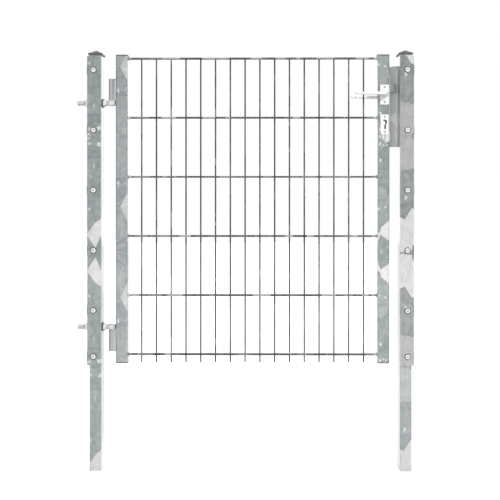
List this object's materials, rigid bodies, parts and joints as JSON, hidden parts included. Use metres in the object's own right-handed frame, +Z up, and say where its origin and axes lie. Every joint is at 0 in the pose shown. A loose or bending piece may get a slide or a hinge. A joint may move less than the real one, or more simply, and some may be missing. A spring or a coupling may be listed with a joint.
{
  "type": "wire mesh gate",
  "caption": "Galvanised garden gate leaf of welded double-wire mesh between two box posts, with eyebolt hinges, mortise lock, lever handles and clamp bars for fence mats.",
  "frame": {"origin": "middle of the hinge post's foot, on the ground", "axes": "+X along the fence from the hinge post to the lock post, +Y away from the side the leaf opens to, +Z up"},
  "size_m": [1.13, 0.15, 1.4105],
  "materials": {
    "galvanised": "hot-dip galvanised, large zinc spangle",
    "galvanised_wire": "hot-dip galvanised wire",
    "zinc_plated": "zinc plated",
    "pin_steel": "satin steel",
    "lock_steel": "stainless",
    "furniture": "satin anodised",
    "cap_plastic": "matt grey",
    "plug_plastic": "matt black"
  },
  "bodies": {
    "posts": {"hinge_post": "galvanised", "hinge_post_cap": "cap_plastic", "hinge_post_bar": "galvanised", "hinge_post_clips": "cap_plastic", "lock_post": "galvanised", "lock_post_cap": "cap_plastic", "lock_post_bar": "galvanised", "lock_post_clips": "cap_plastic", "stop_plate": "galvanised", "upper_eyebolt": "zinc_plated", "lower_eyebolt": "zinc_plated", "upper_hinge_nuts": "zinc_plated", "lower_hinge_nuts": "zinc_plated", "upper_hinge_washers": "zinc_plated", "lower_hinge_washers": "zinc_plated"},
    "leaf": {"hinge_stile": "galvanised", "hinge_stile_top_plug": "plug_plastic", "hinge_stile_bottom_plug": "plug_plastic", "lock_stile": "galvanised", "lock_stile_top_plug": "plug_plastic", "lock_stile_bottom_plug": "plug_plastic", "mesh_panel": "galvanised_wire", "upper_hinge_pin": "pin_steel", "lower_hinge_pin": "pin_steel", "upper_hinge_lug": "galvanised", "lower_hinge_lug": "galvanised", "lock_case": "lock_steel", "front_handle_plate": "furniture", "rear_handle_plate": "furniture", "front_key_plate": "furniture", "rear_key_plate": "furniture"},
    "handles": {"front_lever": "furniture", "rear_lever": "furniture", "spindle": "lock_steel"},
    "latch": {"latch_bolt": "lock_steel"}
  },
  "joints": [
    {"name": "leaf_swing", "type": "hinge", "parent": "posts", "child": "leaf", "pos_m": [0.0485, 0, 1.235], "axis": [0, 0, -1], "range_deg": [0, 90]},
    {"name": "lever_press", "type": "hinge", "parent": "leaf", "child": "handles", "pos_m": [0.97, 0, 1.2615], "axis": [0, -1, 0], "range_deg": [0, 40], "stiffness_Nm_per_rad": 1.5, "springref_deg": -28.65},
    {"name": "latch_slide", "type": "slide", "parent": "leaf", "child": "latch", "axis": [-1, 0, 0], "range_m": [0, 0.02]}
  ],
  "couplings": [
    {"joint": "latch_slide", "follows": "lever_press", "m_per_rad": 0.0286}
  ]
}
